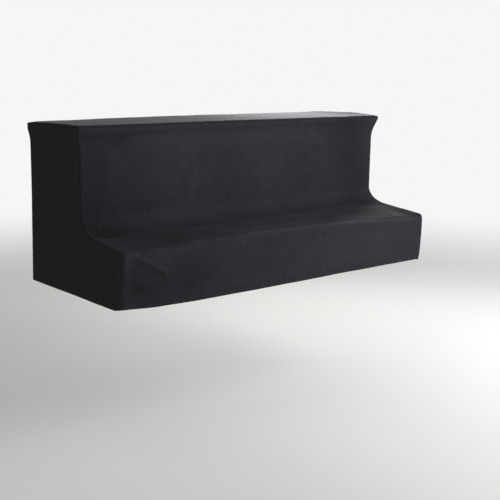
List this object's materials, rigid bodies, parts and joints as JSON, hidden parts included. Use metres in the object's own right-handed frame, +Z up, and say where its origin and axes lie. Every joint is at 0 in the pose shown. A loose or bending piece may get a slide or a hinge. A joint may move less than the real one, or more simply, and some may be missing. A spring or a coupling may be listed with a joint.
{
  "type": "piano cover",
  "caption": "Fitted cover for an upright piano: a hollow stretch-velvet shell over the lid, upper front and key slope, with an apron and sides down to one hem and open underneath.",
  "frame": {"origin": "the middle of the piano lid's top, on the underside of the top panel", "axes": "+X to the right of a player at the keys, +Y towards the wall behind the piano, +Z up"},
  "size_m": [1.5204, 0.666, 0.6202],
  "materials": {
    "velvet": "short-pile black stretch velvet, matt, with a soft sheen at grazing angles"
  },
  "bodies": {
    "root": {"top_panel": "velvet", "front_panel": "velvet", "left_side_panel": "velvet", "right_side_panel": "velvet", "back_panel": "velvet"}
  },
  "joints": []
}
